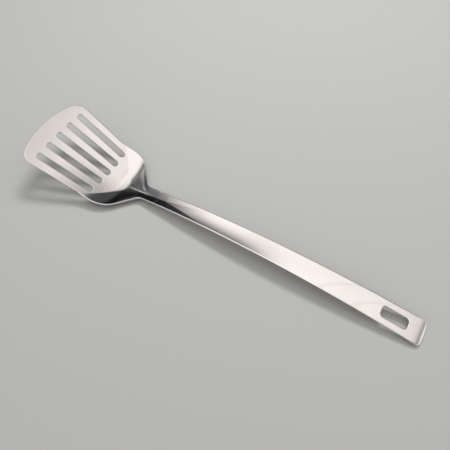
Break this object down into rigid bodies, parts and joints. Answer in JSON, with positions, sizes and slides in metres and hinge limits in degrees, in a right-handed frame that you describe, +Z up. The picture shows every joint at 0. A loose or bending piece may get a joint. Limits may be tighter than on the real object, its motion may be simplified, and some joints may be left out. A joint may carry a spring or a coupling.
{
  "type": "fish spatula",
  "caption": "Stainless slotted turner with a tilted flat blade, scooped heel, channelled neck and long arched strap handle with a hanging hole.",
  "frame": {"origin": "centre of the bounding box's bottom: on the ground under the middle of the length, on the part's mirror plane", "axes": "+X along the length from the blade's front edge to the handle's end, +Y across the blade, +Z up with the part at rest on its heel and handle end"},
  "size_m": [0.332, 0.0698, 0.0341],
  "materials": {
    "steel": "satin brushed faces with polished edges",
    "weld": "dressed and polished flush"
  },
  "bodies": {
    "root": {"blade": "steel", "neck_weld": "weld", "handle": "steel"}
  },
  "joints": []
}
